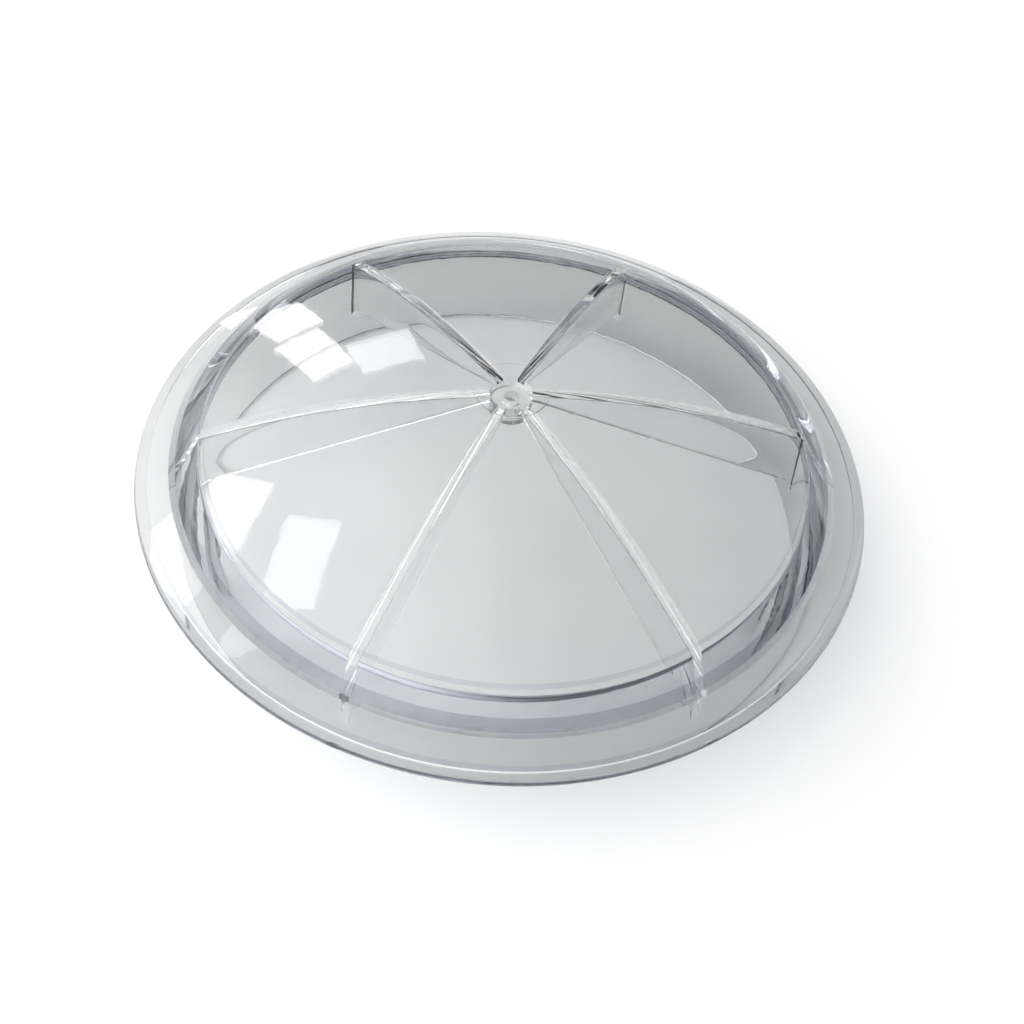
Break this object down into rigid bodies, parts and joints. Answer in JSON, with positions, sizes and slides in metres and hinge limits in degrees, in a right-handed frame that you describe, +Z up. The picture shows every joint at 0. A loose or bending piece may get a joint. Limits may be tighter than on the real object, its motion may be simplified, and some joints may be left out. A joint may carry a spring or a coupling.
{
  "type": "roof vent cover",
  "caption": "Round clear plastic vent cover: shallow ribbed dome with a hub boss, thick shoulder, sloping brim with a rounded rim, and a skirt that drops into the vent.",
  "frame": {"origin": "centre of the circle that the skirt's bottom edge lies in", "axes": "+Z up out of the dome's crown; rib_1 lies along +X"},
  "size_m": [0.21, 0.21, 0.0531],
  "materials": {
    "clear_plastic": "clear, gloss, faint blue-grey"
  },
  "bodies": {
    "root": {"dome_cap": "clear_plastic", "shoulder_ring": "clear_plastic", "skirt_ring": "clear_plastic", "brim_ring": "clear_plastic", "rim_bead": "clear_plastic", "hub_boss": "clear_plastic", "rib_1": "clear_plastic", "rib_2": "clear_plastic", "rib_3": "clear_plastic", "rib_4": "clear_plastic", "rib_5": "clear_plastic", "rib_6": "clear_plastic"}
  },
  "joints": []
}
